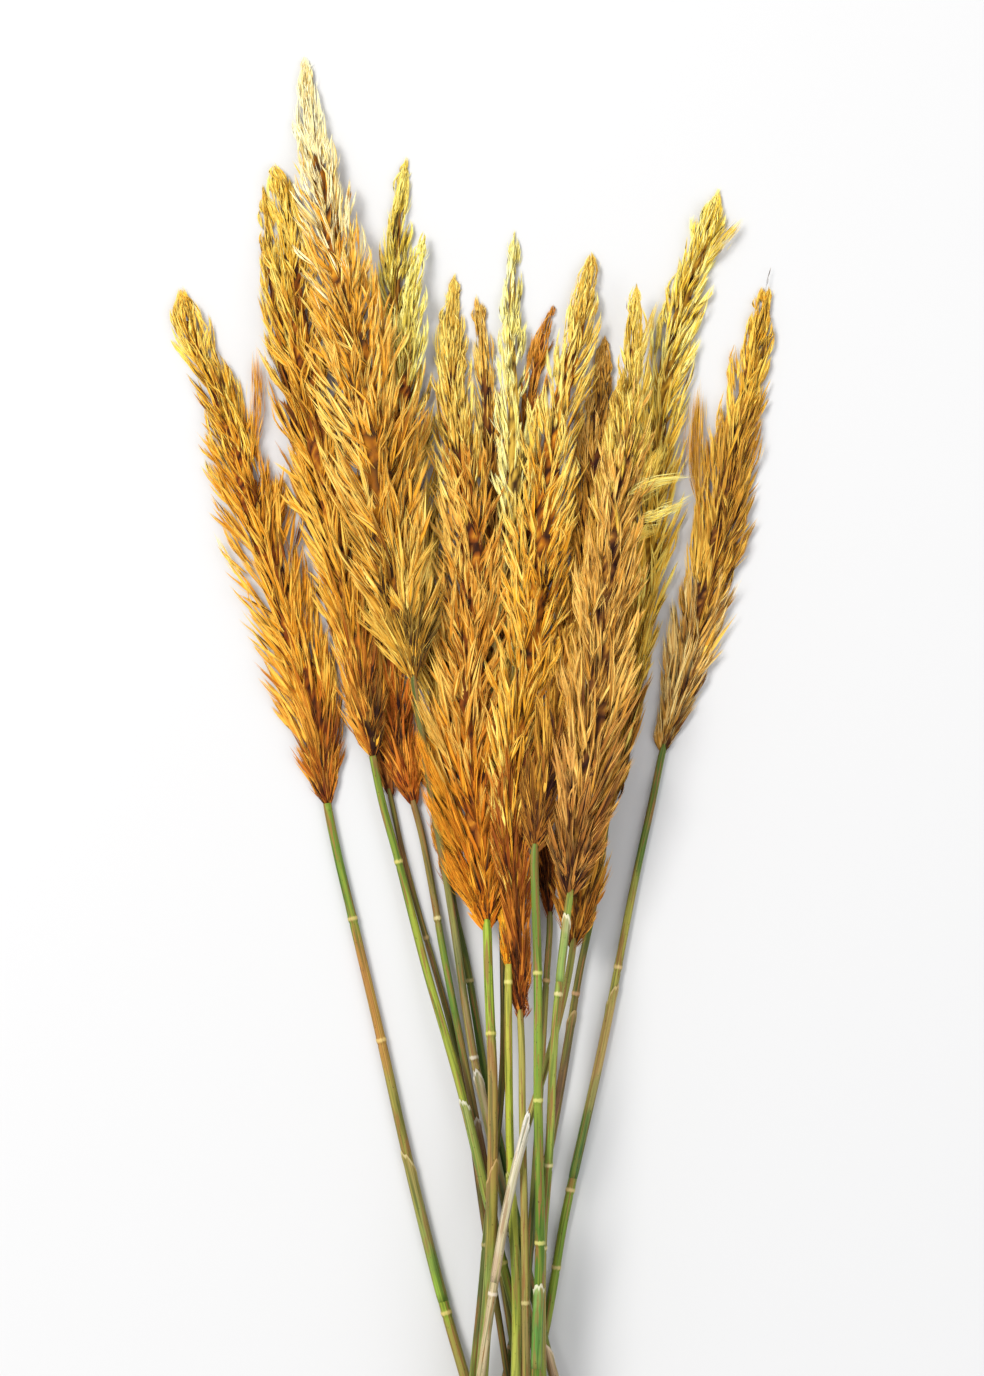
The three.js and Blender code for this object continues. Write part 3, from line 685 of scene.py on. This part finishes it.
hair_colour = mix_colours(hair_skin, root_colour_and_shade, hair_colour, hair_in.outputs["Gap Shade"])
end_shade = map_range(hair_skin, along_hair.outputs["Value"], *LIGHT_AT_END)
hair_colour = mix_colours(hair_skin, end_shade, hair_colour, shades["Light"])
hair_skin.links.new(hair_colour, hair_out.inputs["Color"])
gloss_end = map_range(hair_skin, along_hair.outputs["Value"], *HAIR_ROUGHNESS)
hair_skin.links.new(gloss_end, hair_out.inputs["Roughness"])

# Shade, middle and light of each plume's hairs at its base, on its body and at its tip.
HAIR_TONES = {
    "reed_01": ((0x6A2E0E, 0xBC6A1C, 0xE8A83C), (0x8A4410, 0xE0941C, 0xF8C650),
                (0x9A5A12, 0xECB02A, 0xFBE270)),
    "reed_02": ((0x44200E, 0x84481A, 0xC08036), (0x6A3A14, 0xB06A1E, 0xD89A3A),
                (0x94601A, 0xDCA632, 0xF4D868)),
    "reed_03": ((0x6A2E0E, 0xBE701E, 0xE8AA40), (0x8A4A12, 0xE29C24, 0xF8CC58),
                (0x9A6416, 0xECB834, 0xFBE67A)),
    "reed_04": ((0x7A4E12, 0xD2982C, 0xF4CC5C), (0x985A12, 0xEEA82C, 0xFCDC72),
                (0xC4A050, 0xF8E090, 0xFFF9CE)),
    "reed_05": ((0x6A2A0C, 0xC0641A, 0xE89C36), (0x8A4810, 0xD8902A, 0xF2C45A),
                (0xAA9230, 0xF2DC5C, 0xFFF8A0)),
    "reed_06": ((0x5A2C0E, 0xB46A1E, 0xE0A038), (0x85541A, 0xDEAA34, 0xF8DA6C),
                (0x9A7A20, 0xECCC48, 0xFCF290)),
    "reed_07": ((0x602A0A, 0xCC7214, 0xF0A82E), (0x8A4812, 0xE0962A, 0xF6CA60),
                (0x94661A, 0xE8B842, 0xFAE67E)),
    "reed_08": ((0x44200E, 0x8A5020, 0xC0843C), (0x704014, 0xBA7C2A, 0xE0AC50),
                (0x8A5A1A, 0xDCA43C, 0xF4D674)),
    "reed_09": ((0x8E4A0A, 0xEC9412, 0xFCC83A), (0xBC9638, 0xF4D862, 0xFFF4A2),
                (0xAE983E, 0xF6E67C, 0xFFFCBA)),
    "reed_10": ((0x3E180A, 0x8C4412, 0xCC7E28), (0xA45E10, 0xF6B22C, 0xFEDE6E),
                (0x9A661A, 0xF0C248, 0xFCEA84)),
    "reed_11": ((0x4A1E0A, 0x944816, 0xC87828), (0x6E3810, 0xC07026, 0xE69E42),
                (0x7A4012, 0xC88020, 0xECAC48)),
    "reed_12": ((0x46220E, 0x945A1C, 0xCC9034), (0x5E3212, 0xBC7E26, 0xE2AE42),
                (0x7A4C1A, 0xCE9434, 0xF0C468)),
    "reed_13": ((0x522810, 0xAE6A1E, 0xDEA03C), (0x643812, 0xC4882A, 0xECBC50),
                (0x7A4E16, 0xD09C32, 0xF2D266)),
    "reed_14": ((0x5A3214, 0xB4742E, 0xE8B05A), (0x6E421A, 0xD89A3A, 0xF6CC6C),
                (0x8A6418, 0xE4BA40, 0xFBE67E)),
    "reed_15": ((0x6A4014, 0xC48430, 0xECC05E), (0x9A6C1C, 0xF2C03C, 0xFCE472),
                (0xB07E1C, 0xFFDA42, 0xFFF69C)),
    "reed_16": ((0x7A4A1A, 0xD29C42, 0xF6DC92), (0x74451A, 0xCE902C, 0xF0C454),
                (0x946014, 0xE8AC2E, 0xFADA62)),
}
# Nearly black colours for each material slot, painted as the shade in the gaps between a plume's locks.
HAIR_GAP_SHADES = {"plume_gold": 0x2C150A, "plume_rust": 0x2A110C, "plume_straw": 0x3A2412}

# Share of all the hairs, half width of the blunt tip, bare length below the last awn, the
# share of the plume's length with the colours of its base, and half width above its neck.
PLUME_SHAPES = {
    "reed_01": (1.1, 0.0075, 0.002, 0.16, 0.008),
    "reed_02": (0.5, 0.0026, 0.001, 0.20, 0.005),
    "reed_03": (1.1, 0.006, 0.001, 0.14, 0.009),
    "reed_04": (1.6, 0.0034, 0.001, 0.12, 0.01),
    "reed_05": (0.8, 0.0026, 0.001, 0.22, 0.006),
    "reed_06": (0.9, 0.0028, 0.001, 0.15, 0.006),
    "reed_07": (1.6, 0.0032, 0.001, 0.20, 0.0115),
    "reed_08": (0.5, 0.0030, 0.001, 0.15, 0.005),
    "reed_09": (0.7, 0.0020, 0.001, 0.12, 0.004),
    "reed_10": (1.5, 0.0026, 0.001, 0.25, 0.004),
    "reed_11": (0.5, 0.0036, 0.001, 0.15, 0.005),
    "reed_12": (1.1, 0.0030, 0.001, 0.15, 0.01),
    "reed_13": (1.3, 0.0030, 0.001, 0.14, 0.011),
    "reed_14": (1.1, 0.0026, 0.001, 0.18, 0.007),
    "reed_15": (1.1, 0.007, 0.001, 0.12, 0.007),
    "reed_16": (1.0, 0.005, 0.010, 0.26, 0.007),
}

# Sheaves that part from a plume: the share of its length where each starts, its start beside
# the axis, where it bends and ends from there, its radius, hairs, lift, strip and mean tone.
LOOSE_SHEAVES = {
    "reed_01": [
        (0.700, 0.008, (0.002, 0.017), (0.001, 0.036), 0.0034, 260, 0.001, 1, 0.55),
        (0.440, -0.013, (-0.007, 0.006), (-0.012, 0.017), 0.0016, 60, 0.001, 2, 0.80),
    ],
    "reed_07": [
        (0.270, -0.012, (-0.008, 0.014), (-0.014, 0.029), 0.0030, 260, 0.006, 1, 0.80),
        (0.190, -0.012, (-0.008, 0.013), (-0.013, 0.028), 0.0032, 280, 0.006, 0, 0.85),
        (0.110, -0.010, (-0.008, 0.012), (-0.014, 0.026), 0.0030, 240, 0.006, 0, 0.80),
        (0.035, -0.005, (-0.008, 0.010), (-0.013, 0.022), 0.0028, 220, 0.005, 0, 0.75),
    ],
    "reed_14": [
        (0.880, 0.003, (0.002, 0.010), (0.006, 0.022), 0.0022, 140, 0.003, 2, 0.75),
    ],
    "reed_15": [
        (0.448, -0.021, (0.003, 0.023), (0.028, 0.026), 0.0038, 230, 0.022, 2, 0.78),
        (0.436, -0.019, (0.004, 0.020), (0.022, 0.027), 0.0034, 150, 0.021, 2, 0.62),
        (0.478, -0.006, (0.006, -0.001), (0.018, 0.006), 0.0034, 190, 0.021, 2, 0.74),
        (0.380, -0.013, (0.001, 0.018), (0.013, 0.021), 0.0042, 380, 0.021, 1, 0.74),
        (0.510, -0.006, (0.003, 0.012), (0.008, 0.020), 0.0040, 300, 0.020, 1, 0.74),
        (0.890, 0.003, (0.006, 0.008), (0.014, 0.017), 0.0028, 200, 0.003, 2, 0.55),
    ],
    "reed_16": [
        (0.540, -0.010, (-0.003, 0.020), (-0.001, 0.044), 0.0046, 420, 0.001, 1, 0.55),
        (0.985, 0.000, (0.001, 0.006), (0.003, 0.014), 0.0003, 6, 0.001, 0, 0.20),
    ],
}

# A packed plume solid holds the dense core, and these say how far the whole plume goes.
CORE_SHARE = 0.66
HEIGHT_SHARE = 1.15
FLOOR_CLEARANCE = 0.0003
BLUNT_LENGTH = 0.012
BLUNT_HEIGHT = 0.5
TIP_REACH = 0.06
TIP_BLEND = 0.03
NECK_REACH = 0.06
NECK_ROUNDING = 0.03

HEART_SHARE = 0.46
HEART_SIDES = 14
HEART_RINGS = 90
HEART_LUMPS = (0.8, 1.15)
HEART_BELOW_NECK = 0.002
HEART_BELOW_TIP = 0.012
# The heart's tones lie mostly near the darkest: painted shade deep inside the plume.
HEART_DARKEST = 0.03
HEART_TONE_RANGE = 0.4

# Hairs: how their faces turn, where they are widest, how high their crest is in half widths,
# where each of their corners lies in a colour strip, and how far each is off the floor.
HAIRS_IN_ALL = 200000
HAIR_HALF_WIDTH = (0.00012, 0.00026)
HAIR_SPIN = 0.8
HAIR_WIDEST = (0.3, 0.5)
HAIR_CREST = 0.7
HAIR_STRIP_PLACES = (0.06, 0.45, 0.45, 0.94)
HAIR_STRIP_OFFSETS = (0.0, -0.008, 0.008, 0.0)
HAIR_FLOOR_STEPS = (0.0, 0.5, 0.9, 0.2)
HAIR_TONE_LIMITS = (0.03, 0.96)
HAIR_SPECULAR = 0.15

# Locks: how long and thick they are, where they start as shares of the plume's length, how
# far they stand out from the axis as shares of its half width, and where along a lock its
# hairs are rooted and how far they reach.
HAIRS_PER_LOCK = 22
UNDER_HAIRS = 3
LOCK_LENGTH = (0.017, 0.034)
LOCK_RADIUS = (0.0009, 0.0022)
LOCK_SHORTEST = 0.006
LOCK_STARTS = (-0.01, 0.985)
BASE_LOCKS = 0.13
BASE_LOCK_STARTS = (-0.012, 0.05)
LOCK_TURN = 0.72
LOCK_TURN_CHANGE = 0.3
LOCK_ROOT_OUT = (0.05, 0.72)
LOCK_TIP_OUT = (0.3, 0.8)
FURTHEST_OUT = 1.4
LOCK_BOW = 0.0013
HAIR_ROOTS = (0, 0.58)
HAIR_REACH = (0.38, 0.5)
LAST_HAIR_PAST_END = 0.004
LAST_HAIR_RANGE = 0.009
OUTLINE_KNOTS = 16
OUTLINE_REACH = (-0.05, 1.1)
OUTLINE_AHEAD = 0.08
OUTLINE_SWELL = (0.88, 1.12)
WILD_HAIRS = 0.05
GAP_SHADE_HAIRS = 0.05
GAP_SHADE_HAIR_TONE = 0.08
TIP_COLOURS_FROM = 0.70
MEAN_TONE = 0.56
LOCK_TONE_SPREAD = 0.09
TONE_DRIFT = 0.12
HAIR_TONE_SPREAD = 0.19
UNDER_HAIR_SHADE = 0.14
NECK_SHADE = 0.3
NECK_SHADE_REACH = 0.09
RIGHT_SIDE_SHADE = 0.08
HAIR_END_LIGHT = 0.3
HAIR_END_LIGHT_FROM = 0.65
OUTER_LOCK_PAINTED_LIGHT = 0.10
WILD_HAIR_LIGHT = 0.2


def plume_finish(name, tones, gap_shade):
    """A matt seed hair material with its own colours."""
    material = bpy.data.materials.new(name)
    material.use_nodes = True
    tree = material.node_tree
    shader = tree.nodes["Principled BSDF"]
    shader.inputs["Specular IOR Level"].default_value = HAIR_SPECULAR
    colours = tree.nodes.new("ShaderNodeGroup")
    colours.node_tree = hair_skin
    for strip, strip_tones in zip(HAIR_STRIPS, tones):
        for shade, colour in zip(HAIR_SHADES, strip_tones):
            colours.inputs[f"{strip} {shade}"].default_value = linear(colour)
    colours.inputs["Gap Shade"].default_value = linear(gap_shade)
    tree.links.new(colours.outputs["Color"], shader.inputs["Base Color"])
    tree.links.new(colours.outputs["Roughness"], shader.inputs["Roughness"])
    return material


def plume_places(spine, y, across, upward):
    """Points at given Y whose offsets are shares of the whole plume's half width and height."""
    centre, ahead, side, above = along_spine(spine, y)
    wide = np.interp(y, spine["plume_y"], spine["plume_half"][:, 0]) * ahead[..., 1] / CORE_SHARE
    high = np.interp(y, spine["plume_y"], spine["plume_half"][:, 2]) * HEIGHT_SHARE
    blunt = spine["blunt"] * np.sqrt(np.clip((spine["end"] - y) / BLUNT_LENGTH, 0, 1))
    near_tip = np.clip((y - spine["end"] + TIP_REACH) / TIP_BLEND, 0, 1)
    round_neck = spine["flare"] * np.sqrt(np.clip((y - spine["neck"]) / NECK_ROUNDING, 0, 1))
    near_neck = y < spine["neck"] + NECK_REACH
    wide = np.maximum(np.maximum(wide, blunt * near_tip), round_neck * near_neck)
    high = np.maximum(high, BLUNT_HEIGHT * blunt * near_tip)
    return centre + side * (across * wide)[..., None] + above * (upward * high)[..., None]


def plume_heart(spine, chance):
    """Points, faces and UVs of the dense heart along a plume's axis, painted mostly dark as shade."""
    y = np.linspace(spine["neck"] - HEART_BELOW_NECK, spine["end"] - HEART_BELOW_TIP, HEART_RINGS)
    turns = np.linspace(0, 2 * np.pi, HEART_SIDES, endpoint=False)
    lumps = HEART_SHARE * CORE_SHARE * chance.uniform(*HEART_LUMPS, (HEART_RINGS, HEART_SIDES))
    grid_y = np.broadcast_to(y[:, None], lumps.shape)
    points = plume_places(spine, grid_y, lumps * np.sin(turns), lumps * np.cos(turns)).reshape(-1, 3)
    ends, _, _, _ = along_spine(spine, y[[0, -1]])
    quads = closed_lathe_faces(HEART_RINGS, HEART_SIDES)
    faces = [(face[0], face[k + 1], face[k + 2]) for face in quads for k in range(len(face) - 2)]
    painted_heart_shade = chance.uniform(0, 1, HEART_RINGS * HEART_SIDES + 2) ** 1.6
    shades = HEART_DARKEST + HEART_TONE_RANGE * painted_heart_shade
    corners = np.array(faces).ravel()
    uvs = np.stack([np.full(len(corners), 0.5), shades[corners]], axis=-1)
    return np.concatenate([points, ends]), np.array(faces), uvs


def lay_hairs(roots, tips, widths, tones, strips, chance):
    """Points, faces and UVs of hairs from roots to tips, each one a slim four-faced sliver."""
    count = len(roots)
    lean = tips - roots
    spin = chance.normal(0, HAIR_SPIN, count)
    facing = np.stack([np.sin(spin), np.zeros(count), np.cos(spin)], axis=-1)
    beside = np.cross(lean, facing)
    beside /= np.linalg.norm(beside, axis=1, keepdims=True)
    crest = np.cross(beside, lean)
    crest /= np.linalg.norm(crest, axis=1, keepdims=True)
    widest = chance.uniform(*HAIR_WIDEST, count)
    middle = roots + lean * widest[:, None] + crest * (HAIR_CREST * widths)[:, None]
    left = middle - beside * widths[:, None]
    right = middle + beside * widths[:, None]
    points = np.stack([roots, left, right, tips], axis=1)
    off_floor = FLOOR_CLEARANCE + widths[:, None] * np.array(HAIR_FLOOR_STEPS)
    points[..., 2] = np.maximum(points[..., 2], off_floor)
    pattern = np.array([[0, 2, 1], [1, 2, 3], [0, 1, 3], [0, 3, 2]])
    faces = (4 * np.arange(count)[:, None, None] + pattern[None]).reshape(-1, 3)
    along = (strips[:, None] + np.array(HAIR_STRIP_PLACES)) / len(HAIR_STRIPS)
    across = np.clip(tones, *HAIR_TONE_LIMITS)[:, None] + np.array(HAIR_STRIP_OFFSETS)
    corner_uv = np.stack([along.ravel(), across.ravel()], axis=-1)
    return points.reshape(-1, 3), faces, corner_uv[faces.ravel()]


def plume_hairs(spine, hair_count, chance):
    """A plume's hairs, set in pointed locks that lean out from the axis towards the tip."""
    length = spine["end"] - spine["neck"]
    locks = hair_count // HAIRS_PER_LOCK
    at_base = chance.uniform(0, 1, locks) < BASE_LOCKS
    base_starts = chance.uniform(*BASE_LOCK_STARTS, locks)
    start = np.where(at_base, base_starts, chance.uniform(*LOCK_STARTS, locks))
    turn = chance.uniform(-LOCK_TURN, LOCK_TURN, locks) * np.pi
    root_out = chance.uniform(*LOCK_ROOT_OUT, locks)
    tip_turn = turn + chance.normal(0, LOCK_TURN_CHANGE, locks)
    knots = np.linspace(*OUTLINE_REACH, OUTLINE_KNOTS)
    swells = [chance.uniform(*OUTLINE_SWELL, OUTLINE_KNOTS) for _ in range(2)]
    right_swell, left_swell = (np.interp(start + OUTLINE_AHEAD, knots, swell) for swell in swells)
    reach_out = np.where(turn > 0, right_swell, left_swell)
    tip_out = reach_out * (root_out + chance.uniform(*LOCK_TIP_OUT, locks))
    tip_out = np.minimum(tip_out, FURTHEST_OUT)
    shorter = (1.0 - 0.5 * start) * np.clip(0.6 + 5 * start, 0.6, 1)
    lock_length = chance.uniform(*LOCK_LENGTH, locks) * shorter
    radius = chance.uniform(*LOCK_RADIUS, locks) * (1.0 - 0.5 * start)
    drifts = [chance.normal(0, TONE_DRIFT, OUTLINE_KNOTS) for _ in range(2)]
    right_drift, left_drift = (np.interp(start, knots, drift) for drift in drifts)
    lock_tone = chance.normal(0, LOCK_TONE_SPREAD, locks) + np.where(turn > 0, right_drift, left_drift)
    bow = chance.normal(0, LOCK_BOW, locks)

    which = np.repeat(np.arange(locks), HAIRS_PER_LOCK)
    count = len(which)
    start_y = spine["neck"] + start[which] * length
    last_y = spine["end"] + LAST_HAIR_PAST_END - chance.uniform(0, LAST_HAIR_RANGE, locks)[which]
    reach_y = np.minimum(start_y + lock_length[which], last_y)
    reach_y = np.maximum(reach_y, start_y + LOCK_SHORTEST)

    def lock_line(share):
        y = start_y + share * (reach_y - start_y)
        out = root_out[which] + (tip_out - root_out)[which] * np.clip(share, 0, 2) ** 0.85
        around = turn[which] + (tip_turn - turn)[which] * share
        points = plume_places(spine, y, out * np.sin(around), out * np.cos(around))
        points[:, 0] += bow[which] * np.sin(np.pi * np.clip(share, 0, 1))
        return points

    under = np.tile(np.arange(HAIRS_PER_LOCK) < UNDER_HAIRS, locks)
    root_share = np.where(under, 0.05, 1) * chance.uniform(*HAIR_ROOTS, count)
    tip_share = root_share + np.where(under, 2, 1) * chance.uniform(*HAIR_REACH, count)
    spin = chance.uniform(0, 2 * np.pi, count)
    off_line = np.stack([np.sin(spin), 0.3 * np.cos(3 * spin), 0.6 * np.cos(spin)], axis=-1)
    taper = np.sqrt(np.clip(1.12 - tip_share, 0.06, 1))
    spread = radius[which] * taper * chance.uniform(0.3, 1.15, count)
    wild = (chance.uniform(0, 1, count) < WILD_HAIRS) & ~under
    spread = np.where(wild, 2.4 * spread + 0.001, spread)
    roots = lock_line(root_share) + off_line * (0.35 * spread)[:, None]
    tips = lock_line(tip_share) + off_line * spread[:, None]
    fatter = np.where(wild, 0.6, np.where(under, 3.1 - 1.9 * start[which], 0.92))
    widths = chance.uniform(*HAIR_HALF_WIDTH, count) * fatter

    share = (start_y - spine["neck"]) / length + chance.normal(0, 0.06, locks)[which]
    share = share + chance.normal(0, 0.03, count)
    strips = (share > spine["base_share"]).astype(float) + (share > TIP_COLOURS_FROM)
    tones = MEAN_TONE + lock_tone[which] - UNDER_HAIR_SHADE * under
    tones -= NECK_SHADE * np.clip(1 - share / NECK_SHADE_REACH, 0, 1)
    to_right = np.sin(turn[which]) * tip_out[which]
    tones -= RIGHT_SIDE_SHADE * to_right
    tones += chance.normal(0, HAIR_TONE_SPREAD, count)
    tones += HAIR_END_LIGHT * (np.minimum(tip_share, 1) - HAIR_END_LIGHT_FROM)
    # Hairs far out at a plume's sides are painted lighter, as light that shines through them.
    tones += OUTER_LOCK_PAINTED_LIGHT * np.clip(2 * np.abs(to_right) - 1, 0, 1)
    tones = np.where(wild, tones + WILD_HAIR_LIGHT, tones)
    # Scattered hairs are painted nearly black: shade in the gaps between locks.
    tones = np.where(chance.uniform(0, 1, count) < GAP_SHADE_HAIRS, GAP_SHADE_HAIR_TONE, tones)
    return lay_hairs(roots, tips, widths, tones, strips, chance)


def loose_sheaf(spine, sheaf, chance):
    """Hairs that follow one bent line away from the plume's axis."""
    share, across, bend, end, radius, count, lift, strip, tone = sheaf
    y = spine["neck"] + share * (spine["end"] - spine["neck"])
    centre, _, _, _ = along_spine(spine, y)
    first = centre + np.array([across, 0, 0.55 * lift])
    second = first + np.array([*bend, 0.7 * lift])
    third = first + np.array([*end, 0.3 * lift])

    def bent_line(t):
        t = t[:, None]
        return first * (1 - t) ** 2 + second * (2 * t * (1 - t)) + third * t ** 2

    root_share = chance.uniform(0, 0.85, count)
    tip_share = root_share + chance.uniform(0.2, 0.4, count)
    spin = chance.uniform(0, 2 * np.pi, count)
    off_line = np.stack([np.sin(spin), np.cos(spin), 0.5 * np.sin(2 * spin)], axis=-1)
    stray = chance.uniform(0, 1, count) < 0.2
    fullness = radius * chance.uniform(0.1, 1.0, count) * np.where(stray, 1.9, 1.0)
    root_spread = fullness * (0.3 + 0.6 * np.sin(np.pi * root_share))
    tip_spread = fullness * (1.4 - 0.75 * tip_share)
    roots = bent_line(root_share) + off_line * root_spread[:, None]
    tips = bent_line(tip_share) + off_line * tip_spread[:, None]
    widths = 0.55 * chance.uniform(*HAIR_HALF_WIDTH, count)
    tones = tone + chance.normal(0, 0.2, count)
    return lay_hairs(roots, tips, widths, tones, np.full(count, float(strip)), chance)


hair_shares = sum(shape[0] for shape in PLUME_SHAPES.values())
for number, (reed, (hair_share, blunt, bare, base_share, flare)) in enumerate(PLUME_SHAPES.items()):
    chance = np.random.default_rng(700 + number)
    spine = reeds[reed]
    spine["end"] = spine["tip"] - bare
    spine["blunt"] = blunt
    spine["base_share"] = base_share
    spine["flare"] = flare
    hair_count = int(HAIRS_IN_ALL * hair_share / hair_shares)
    parts = [plume_heart(spine, chance), plume_hairs(spine, hair_count, chance)]
    parts += [loose_sheaf(spine, sheaf, chance) for sheaf in LOOSE_SHEAVES.get(reed, [])]
    points = np.concatenate([part[0] for part in parts])
    points[:, 2] = np.maximum(points[:, 2], FLOOR_CLEARANCE)
    firsts = np.cumsum([0] + [len(part[0]) for part in parts[:-1]])
    faces = np.concatenate([part[1] + first for part, first in zip(parts, firsts)])
    finish = plume_finish(f"plume_{reed}", HAIR_TONES[reed], HAIR_GAP_SHADES[slots[f"{reed}_plume"]])
    plume = add_piece(f"{reed}_plume_hairs", points, faces.tolist(), finish, False)
    uv_layer = plume.data.uv_layers.new(name="OFBake")
    uvs = np.concatenate([part[2] for part in parts])
    uv_layer.data.foreach_set("uv", uvs.astype(np.float32).ravel())
    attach(plume, "root")
    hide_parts(f"{reed}_plume")
